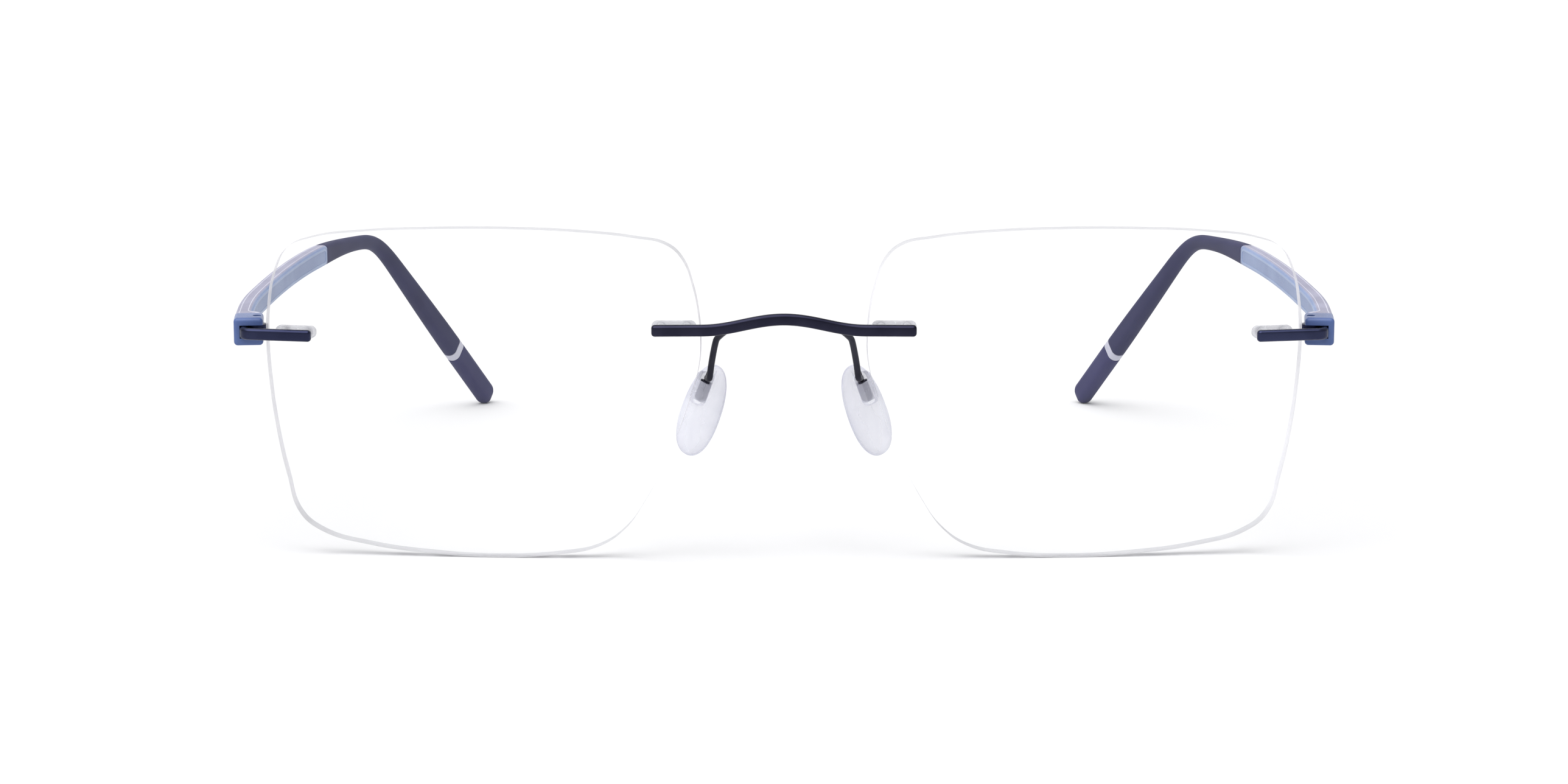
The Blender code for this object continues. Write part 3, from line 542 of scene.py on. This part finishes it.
bridge = {
    "height": 0.00150,
    "depth": 0.00115,
    "endReach": 0.00285,
    "archReach": 0.0103,
    "archRise": 0.0015,
    "archBow": 0.0009,
    "corner": 0.00046,
    "endRound": 0.00042,
    "spacing": 0.0005,
}


def bridgePoints():
    seated = seatFrame("nasal")
    start = seated @ Vector((0, -mounting["fitGap"] - bridge["depth"] / 2, 0))
    outward = seated.to_3x3() @ Vector((1, 0, 0))
    slope = outward / outward.x
    reach = bridge["archReach"]
    root = start + slope * (reach - start.x)
    points = [start + slope * bridge["endReach"], root]
    for i in range(1, 41):
        x = reach * (1 - i / 40)
        arch = 0.5 * (1 + math.cos(math.pi * x / reach))
        settle = reach / 2 * (1 - (x / reach) ** 2)
        points.append(Vector((x, root.y - slope.y * settle - bridge["archBow"] * arch,
                              root.z - slope.z * settle + bridge["archRise"] * arch)))
    return points + [Vector((-point.x, point.y, point.z)) for point in reversed(points[:-1])]


def makeBridge():
    course = Course(bridgePoints())
    bm = bar(0, course.length, bridge["depth"] / 2, bridge["height"] / 2, bridge["corner"],
             bridge["spacing"], bridge["endRound"], bridge["endRound"], 6)
    return solid("bridge", bend(bm, course), (barFinish,))


bridgeBar = makeBridge()
bridgeBar.name = "bridgeBar"
bridgeBar.data.shade_smooth()
bridgeBar.data.set_sharp_from_angle(angle=math.radians(50))
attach(bridgeBar, "front")
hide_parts("bridge")
print("bridge made")


# End pieces: strips that run out along the lens, turn back and end in the hinge's barrel

endPiece = {
    "height": 0.00150,
    "depth": 0.0010,
    "legDepth": 0.0008,
    "innerReach": 0.0029,
    "bend": 0.0011,
    "bendPull": 0.55,
    "corner": 0.00042,
    "endRound": 0.00040,
    "spacing": 0.00012,
    "barrel": 0.0014,
    "barrelBevel": 0.00015,
    "bore": 0.00059,
}


standing = Matrix.Translation(hinge) @ Matrix.Rotation(math.radians(90), 4, "X")  # Y up the hinge's axis


def makeEndPiece():
    axis = seatFrame("temporal") @ Matrix.Translation((0, -mounting["fitGap"] - endPiece["depth"] / 2, 0))
    outward = (axis.to_3x3() @ Vector((1, 0, 0))).normalized()
    lean = (axis.to_3x3() @ up).normalized()
    corner = axis.translation + outward * ((hinge.x + endPiece["barrel"] - axis.translation.x) / outward.x)
    start = axis.translation - outward * endPiece["innerReach"]
    back = Vector((0, 1, 0))
    turn = endPiece["bend"]
    bendStart, bendEnd = corner - outward * turn, corner + back * turn
    pull = turn * endPiece["bendPull"]
    arc = interpolate_bezier(bendStart, bendStart + outward * pull, bendEnd - back * pull, bendEnd, 24)
    course = Course([start, *arc, Vector((corner.x, hinge.y, hinge.z))])
    straight = (bendStart - start).length
    course.lean = lambda place: lean.lerp(up, limit((place - straight) / (course.length - straight)))
    tall = endPiece["height"] / 2
    bm = bar(0, course.length, endPiece["depth"] / 2, tall, endPiece["corner"], endPiece["spacing"],
             endPiece["endRound"], 0, 6)
    for vert in bm.verts:
        share = limit((vert.co.y - straight) / (2 * turn))
        vert.co.x *= 1 + (endPiece["legDepth"] / endPiece["depth"] - 1) * share
    bend(bm, course)
    add(bm, seat(rod(-tall, tall, endPiece["barrel"], endPiece["barrelBevel"], 48), standing))
    obj = solid("endPiece", bm, (endFinish,))
    return carve(obj, [seat(rod(-0.002, 0.002, endPiece["bore"]), standing)])


pair(makeEndPiece(), "EndPiece", "front", ["end_piece"], 50)
print("end pieces made")


# Temples: a moulded arm with an inlay, a sleeve, a ring and a cap

temple = {
    "front": Vector((0.00156, -0.0026, 0)),  # from the hinge pin
    "bow": Vector((0.0023, 0.0273, 0.00027)),  # from the front
    "bend": Vector((-0.0047, 0.0871, 0.00155)),
    "bendWay": Vector((-0.23, 1, -0.06)),
    "bendHug": 0.43,  # how closely the line keeps to the bend's corner
    "leg": Vector((-0.0039, 0.0114, -0.0052)),  # from the bend
    "legWay": Vector((-0.50, 1, -1.01)),
    "rise": 0.0178,
    "tipHeight": 0.000590,
    "spacing": {"arm": 0.0012, "block": 0.0005, "inlay": 0.0010,
                "sleeve": 0.0008, "ring": 0.0004, "cap": 0.001},
    "blockLength": 0.0044,
    "blockBlend": 0.0050,
    "blockInner": 0.00266,
    "blockHalfUp": 0.00178,
    "blockCutsEnd": 0.0095,
    "armEnd": 0.0686,
    "armTaper": 0.0040,
    "armHalf": (0.00108, 0.00150),
    "bendHalfUp": 0.00110,
    "tipHalf": (0.00120, 0.00180),
    "armCorner": 0.00050,
    "legCorner": 0.00108,
    "frontRound": 0.00045,
    "endRound": 0.00008,
    "panelStart": 0.0047,
    "panelEdge": 0.00013,
    "panelDepth": 0.00002,
    "hingeGap": 0.00009,
    "slotInward": 0.004,
    "slotForward": 0.006,
    "barrelGap": 0.00015,
    "pinHole": 0.00055,
    "pinHoleDepth": 0.00035,
    "inlayStart": 0.0056,
    "inlayEnd": 0.0682,
    "inlayHalf": 0.0012,
    "inlaySpan": (-0.00003, 0.00045),  # from the arm's side into it
    "inlayRim": 0.00030,
    "inlayDish": 0.00010,
    "ring": 0.0014,
    "ringRound": 0.00010,
    "cap": 0.0134,
    "dome": 0.0018,
    "seam": 0.00005,
}


def templePoints():
    front = hinge + temple["front"]
    bent = front + temple["bend"]
    leg = bent + temple["leg"]
    nodes = [
        (front, Vector((0.12, 1, temple["rise"]))),
        (front + temple["bow"], Vector((0, 1, temple["rise"]))),
        (bent, temple["bendWay"]),
        (leg, temple["legWay"]),
    ]
    points = []
    hugs = (1 / 3, 1 / 3, temple["bendHug"])
    for (start, out), (end, into), hug in zip(nodes, nodes[1:], hugs):
        reach = (end - start).length * hug
        points += interpolate_bezier(start, start + out.normalized() * reach,
                                     end - into.normalized() * reach, end, 80)[:-1]
    return points + [leg, leg - temple["legWay"] * (leg.z - temple["tipHeight"]) / temple["legWay"].z]


templeCourse = Course(templePoints())
capStart = templeCourse.length - temple["cap"]


def ease(value, start, end):
    share = limit((value - start) / (end - start))
    return share * share * (3 - 2 * share)


def templeSizes(place):  # how far a section reaches outward, inward and up, and how round it is
    blocky = 1 - ease(place, temple["blockLength"], temple["blockLength"] + temple["blockBlend"])
    slim = ease(place, temple["armEnd"] - temple["armTaper"], temple["bend"].y)
    tip = ease(place, temple["bend"].y, capStart)
    arm, end = temple["armHalf"], temple["tipHalf"]
    depth = arm[0] + (end[0] - arm[0]) * tip
    tall = arm[1] + (temple["blockHalfUp"] - arm[1]) * blocky
    tall += (temple["bendHalfUp"] - arm[1]) * slim + (end[1] - temple["bendHalfUp"]) * tip
    corner = temple["armCorner"] + (temple["legCorner"] - temple["armCorner"]) * slim
    return depth, depth + (temple["blockInner"] - depth) * blocky, tall, corner


def shapeTemple(bm):  # gives each section its size and the rounding of its corners
    arm, start = temple["armHalf"], temple["armCorner"]
    for vert in bm.verts:
        outer, inner, tall, corner = templeSizes(vert.co.y)
        across, height = vert.co.x, vert.co.z
        sizes = (outer if across > 0 else inner, tall)
        flats = (arm[0] - start, arm[1] - start)
        past = (abs(across) - flats[0], abs(height) - flats[1])
        if min(past) > 1e-7:
            rounded = corner - start + math.hypot(*past)
            turn = math.atan2(past[1], past[0])
            moved = [size - corner + rounded * share
                     for size, share in zip(sizes, (math.cos(turn), math.sin(turn)))]
        else:
            moved = [size - corner + (corner - start + over if over > 1e-7 else over * (size - corner) / flat)
                     for size, flat, over in zip(sizes, flats, past)]
        vert.co.x, vert.co.z = math.copysign(moved[0], across), math.copysign(moved[1], height)
    return bm


def templeBar(start, end, piece, startRound, endRound):
    spacing = temple["spacing"][piece]
    return bar(start, end, *temple["armHalf"], temple["armCorner"], spacing, startRound, endRound, 6)


def makeArm():
    start, end = temple["panelStart"], temple["armEnd"]
    bm = templeBar(0, end, "arm", temple["frontRound"], temple["endRound"])
    cut(bm, [start, *steps(temple["blockLength"], temple["blockCutsEnd"], temple["spacing"]["block"])])
    beyond = lambda face: face.calc_center_median().y > start
    paint(bm, 1, beyond)
    paint(bm, 3, lambda face: beyond(face) and face.normal.x < -0.6)
    # a thin border round the top and bottom faces is painted lighter: a painted edge highlight
    for side in (1, -1):
        panel = [face for face in bm.faces if face.normal.z * side > 0.999 and beyond(face)]
        border = bmesh.ops.inset_region(bm, faces=panel, thickness=temple["panelEdge"],
                                        depth=-temple["panelDepth"],
                                        use_even_offset=True, use_boundary=True)["faces"]
        for face in border:
            face.material_index = 2
    shapeTemple(bm)
    bend(bm, templeCourse)
    obj = solid("arm", bm, (blockBlue, lavender, edgeHighlight, sideBlue))
    gap = temple["hingeGap"]
    outer = endPiece["barrel"] + endPiece["legDepth"] / 2 + gap
    tall = endPiece["height"] / 2 + gap
    slot = block((-temple["slotInward"], -temple["slotForward"], -tall), (outer, gap, tall))
    bmesh.ops.translate(slot, vec=hinge, verts=slot.verts)
    pocket = seat(rod(-tall, tall, endPiece["barrel"] + temple["barrelGap"], 0, 48), standing)
    hole = seat(rod(-tall - temple["pinHoleDepth"], 0.004, temple["pinHole"]), standing)
    return carve(obj, [slot, pocket, hole])


def makeInlay():
    half, start, end = temple["inlayHalf"], temple["inlayStart"], temple["inlayEnd"]
    inner = temple["armHalf"][0]
    proud, deep = temple["inlaySpan"]
    bm = block((proud - inner, start, -half), (deep - inner, end, half))
    roundEdges(bm, [edge for edge in bm.edges if spans(edge, 0)], half * 0.98, 10)
    cut(bm, steps(start + half, end - half, temple["spacing"]["inlay"]))
    # the rim between the softened edge and the dished middle is painted lighter: a painted highlight
    for index, thickness, depth in (
        (0, 0.00005, 0.00002),  # a softened edge
        (1, temple["inlayRim"], 0),
        (0, 0.00008, -temple["inlayDish"]),
    ):
        panel = [face for face in bm.faces if face.normal.x < -0.99 and face.material_index == 0]
        border = bmesh.ops.inset_region(bm, faces=panel, thickness=thickness, depth=depth,
                                        use_even_offset=True)["faces"]
        for face in border:
            face.material_index = index
    for vert in bm.verts:
        vert.co.x += inner - templeSizes(vert.co.y)[1]
    return solid("inlay", bend(bm, templeCourse), (linerBlue, linerRimHighlight))


def makeSleeve():
    end = capStart - temple["ring"] - 2 * temple["seam"]
    start = temple["armEnd"] + temple["seam"]
    bm = templeBar(start, end, "sleeve", temple["endRound"], temple["endRound"])
    return solid("sleeve", bend(shapeTemple(bm), templeCourse), (sleeveFinish,))


def makeRing():
    end = capStart - temple["seam"]
    bm = templeBar(end - temple["ring"], end, "ring", temple["ringRound"], temple["ringRound"])
    return solid("ring", bend(shapeTemple(bm), templeCourse), (ringFinish,))


def makeCap():
    end = templeCourse.length
    bm = templeBar(capStart, end, "cap", temple["endRound"], 0)
    cut(bm, [end - temple["dome"] * (1 - math.sin(math.radians(turn))) for turn in range(0, 90, 8)])
    shapeTemple(bm)
    for vert in bm.verts:
        share = (vert.co.y - end + temple["dome"]) / temple["dome"]
        if share > 0:
            shrink = math.sqrt(max(1 - share * share, 0.02))
            vert.co.x *= shrink
            vert.co.z *= shrink
    return solid("cap", bend(bm, templeCourse), (capFinish,))


pair(makeArm(), "TempleArm", "temple", ["temple_arm"], 50)
pair(makeInlay(), "TempleInlay", "temple", ["temple_liner"], 50)
pair(makeSleeve(), "TempleSleeve", "temple", ["temple_sleeve"], 50)
pair(makeRing(), "TipRing", "temple", ["tip_ring"], 50)
pair(makeCap(), "TipCap", "temple", ["tip_cap"], 50)
print("temples made")


# Nose pads: silicone with a pocket for the clip, on wires from the bridge

pad = {
    "place": Vector((0.0106, 0.0070, 0.01835)),
    "splay": math.radians(44.0),
    "flare": math.radians(20.0),
    "length": 0.0123,
    "width": 0.0066,
    "thickness": 0.0023,
    "tongueOffset": 0.00105,
    "tongueHalf": (0.00032, 0.00016),
    "tongueSpan": (0.0016, 0.0056),
    "rockGap": 0.00010,
    "clipWall": 0.00022,
    "clipSpan": (0.0012, 0.0039),
    "bossWall": 0.0005,
    "bossTop": 0.0050,
    "wire": 0.00042,
    "wireRoot": 0.0066,
    "wireKnee": Vector((0.0086, 0.0029, 0.0281)),
    "wireEntry": 0.0043,
    "wireSideStep": 0.0013,
    "square": 2.3,  # 2 makes the outline an ellipse
    "full": 0.55,  # 1 makes the section an ellipse
    "taper": 0.06,
    "bossRound": (0.0008, 0.00035),  # its corners and its rim
    "mouthRound": 0.0003,
    "clipRound": 0.00018,
    "clipDish": 0.00008,
    "tongueRound": 0.00025,
    "wireRound": 0.00010,
    "wireSpacing": 0.0002,
}


def padFrame():  # X across the pad, Y towards the skin, Z up its length
    flare = Matrix.Rotation(-pad["flare"], 4, "Y")
    splay = Matrix.Rotation(math.radians(90) - pad["splay"], 4, "Z")
    return Matrix.Translation(middle + pad["place"]) @ flare @ splay


def clipHalf():
    wide, deep = (half + pad["rockGap"] for half in pad["tongueHalf"])
    return wide + pad["clipWall"], deep + pad["clipWall"]


def makePad():
    bm = bmesh.new()
    bmesh.ops.create_uvsphere(bm, u_segments=72, v_segments=36, radius=1)
    bmesh.ops.rotate(bm, matrix=Matrix.Rotation(math.radians(90), 3, "X"), verts=bm.verts)
    for vert in bm.verts:
        x, y, z = vert.co
        around = math.hypot(x, z)
        if around > 1e-6:
            x, z = x / around, z / around
            full = (abs(x) ** pad["square"] + abs(z) ** pad["square"]) ** (-1 / pad["square"])
            full *= around ** pad["full"]
            x, z = x * full, z * full
        across = x * pad["width"] / 2 * (1 - pad["taper"] * z)
        vert.co = (across, y * pad["thickness"] / 2, z * pad["length"] / 2)
    bmesh.ops.transform(bm, matrix=padFrame(), verts=bm.verts)
    obj = solid("pad", bm, (padFinish,))
    wide, deep = (half + mounting["fitGap"] for half in clipHalf())
    offset = pad["tongueOffset"]
    low = pad["clipSpan"][0] - mounting["fitGap"]
    wall = pad["bossWall"]
    boss = block((-wide - wall, -offset - deep - wall, low - wall), (wide + wall, 0, pad["bossTop"]))
    corner, rim = pad["bossRound"]
    roundEdges(boss, [edge for edge in boss.edges if spans(edge, 1)], corner, 6)
    roundEdges(boss, [edge for edge in boss.edges if lies(edge, 1, -offset - deep - wall)], rim, 4)
    pocket = block((-wide, -offset - deep, low), (wide, -offset + deep, pad["length"]))
    slit = pad["wire"] + 2 * pad["rockGap"]
    bottom = pad["wireEntry"] - slit
    mouth = block((-slit - pad["wireSideStep"], -0.004, bottom), (slit, -offset, pad["length"]))
    lower = [edge for edge in mouth.edges if spans(edge, 1) and lies(edge, 2, bottom)]
    roundEdges(mouth, lower, pad["mouthRound"], 4)
    for bm in (boss, pocket, mouth):
        bmesh.ops.transform(bm, matrix=padFrame(), verts=bm.verts)
    return carve(carve(obj, [boss], "UNION"), [pocket, mouth])


def makeClip():
    wide, deep = clipHalf()
    low, high = pad["clipSpan"]
    bm = block((-wide, -deep, low), (wide, deep, high))
    bottom = [edge for edge in bm.edges if spans(edge, 1) and lies(edge, 2, low)]
    roundEdges(bm, bottom, wide * 0.8, 8)
    roundEdges(bm, [edge for edge in bm.edges if lies(edge, 1, -deep)], pad["clipRound"], 5)
    front = [face for face in bm.faces if face.normal.y < -0.999]
    bmesh.ops.inset_region(bm, faces=front, thickness=pad["clipDish"], depth=-pad["clipDish"],
                           use_even_offset=True)
    matrix = padFrame() @ Matrix.Translation((0, -pad["tongueOffset"], 0))
    obj = solid("clip", seat(bm, matrix), (clipFinish,))
    slotWide, slotDeep = (half + pad["rockGap"] for half in pad["tongueHalf"])
    bottom = pad["tongueSpan"][0] - pad["rockGap"]
    slot = block((-slotWide, -slotDeep, bottom), (slotWide, slotDeep, high + 0.001))
    return carve(obj, [seat(slot, matrix)])


def makeWire():
    matrix = padFrame()
    offset, entry, sideStep = pad["tongueOffset"], pad["wireEntry"], pad["wireSideStep"]
    points = bridgePoints()
    near, far = next((a, b) for a, b in zip(points, points[1:]) if b.x <= pad["wireRoot"] <= a.x)
    backward = (far - near).cross(up).normalized()
    root = near.lerp(far, (near.x - pad["wireRoot"]) / (near.x - far.x))
    root += backward * (bridge["depth"] / 2 - 0.0001)
    nodes = [  # a point, the way through it, and how strongly that way bends the wire
        (root, backward, 0.33),
        (middle + pad["wireKnee"], Vector((0.42, 0.28, -1)), 0.10),
        (matrix @ Vector((-sideStep, -offset - 0.0010, entry + 0.0005)), Vector((0.10, 0.22, -1)), 0.33),
        (matrix @ Vector((0, -offset, entry)), matrix.to_3x3() @ Vector((0.6, 1, -0.2)), 0.33),
    ]
    path = []
    for (start, out, first), (end, into, last) in zip(nodes, nodes[1:]):
        length = (end - start).length
        path += interpolate_bezier(start, start + out.normalized() * length * first,
                                   end - into.normalized() * length * last, end, 24)[:-1]
    path.append(nodes[-1][0])
    course = Course(path, lambda place: Vector((1, 0, 0)))
    spacing = pad["wireSpacing"]
    bm = rod(0, course.length, pad["wire"], pad["wireRound"], 24)
    cut(bm, steps(spacing, course.length - spacing, spacing))
    bend(bm, course)
    wide, deep = pad["tongueHalf"]
    tongue = block((-wide, -deep, pad["tongueSpan"][0]), (wide, deep, pad["tongueSpan"][1]))
    roundEdges(tongue, [edge for edge in tongue.edges if spans(edge, 1)], pad["tongueRound"], 4)
    seat(tongue, matrix @ Matrix.Translation((0, -offset, 0)))
    return solid("wire", add(bm, tongue), (wireFinish,))


pair(makePad(), "NosePad", "pad", ["nose_pad"], 35)
pair(makeClip(), "PadClip", "pad", ["pad_clip"])
pair(makeWire(), "PadWire", "front", ["pad_arm"], 50)
print("pads made")


# The CAD nodes that stay: the hinge pins and the wire cores

for side in ("left", "right"):
    for name, finish in (("hinge_pin", clipFinish), ("temple_core", coreFinish)):
        materials = frame["nodes"][f"{side}_{name}"].data.materials
        materials.clear()
        materials.append(finish.material)


# Floor, light and camera

studio = {
    "floor": ((217, 217, 218), (220, 220, 221)),
    "floorSize": 3,
    "floorBend": 1.2,
    "world": 0.48,
    "sun": 3.5,
    "sunAngle": math.radians(75),
    "sunFrom": Vector((-0.25, -0.40, 1.0)),
}


def makeFloor():
    bm = bmesh.new()
    size = studio["floorSize"]
    bmesh.ops.create_grid(bm, x_segments=1, y_segments=1, size=size)
    back = [edge for edge in bm.edges if lies(edge, 1, size)]
    raised = bmesh.ops.extrude_edge_only(bm, edges=back)["geom"]
    bmesh.ops.translate(bm, vec=(0, 0, size), verts=vertsOf(raised))
    corner = [edge for edge in bm.edges if lies(edge, 1, size) and lies(edge, 2, 0)]
    roundEdges(bm, corner, studio["floorBend"], 16)
    bmesh.ops.translate(bm, vec=(0, 0, -0.00002), verts=bm.verts)
    made = Finish("floor").set(roughness=0.9, specularIorLevel=0.1)
    made.set(baseColor=made.mix(made.noise(0.4), *(tone(*colour) for colour in studio["floor"])))
    floor = solid("floor", bm, (made,))
    floor.data.shade_smooth()


def makeWorld():  # soft light all round, and plain white where the camera sees past the floor
    world = bpy.data.worlds.new("studio")
    world.use_nodes = True
    nodes = Nodes(world.node_tree)
    nodes.tree.nodes.remove(nodes.tree.nodes["Background"])
    light = nodes.node("ShaderNodeBackground", None, {"Color": (1, 1, 1, 1), "Strength": studio["world"]})
    seen = nodes.node("ShaderNodeBackground", None, {"Color": (1, 1, 1, 1)})
    ray = nodes.node("ShaderNodeLightPath", output="Is Camera Ray")
    mixed = nodes.node("ShaderNodeMixShader", None, {0: ray, 1: light, 2: seen})
    nodes.feed(nodes.tree.nodes["World Output"].inputs["Surface"], mixed)
    scene.world = world


def makeSun():
    light = bpy.data.lights.new("sun", "SUN")
    light.energy = studio["sun"]
    light.angle = studio["sunAngle"]
    obj = bpy.data.objects.new("sun", light)
    obj.rotation_euler = studio["sunFrom"].to_track_quat("Z", "Y").to_euler()
    scene.collection.objects.link(obj)


makeFloor()
makeWorld()
makeSun()

view = {"distance": 0.44, "elevation": math.radians(9.0), "height": 0.0218, "lens": 79.7}
target = Vector((0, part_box("left_lens")[0].y + 0.0009, view["height"]))
camera = bpy.data.objects.new("camera", bpy.data.cameras.new("camera"))
camera.data.sensor_width = 36
camera.data.lens = view["lens"]
camera.data.clip_start = 0.01
raised = view["elevation"]
camera.location = target + view["distance"] * Vector((0, -math.cos(raised), math.sin(raised)))
camera.rotation_euler = (target - camera.location).to_track_quat("-Z", "Y").to_euler()
scene.collection.objects.link(camera)
scene.camera = camera
scene.view_settings.view_transform = "Standard"
print("studio made")
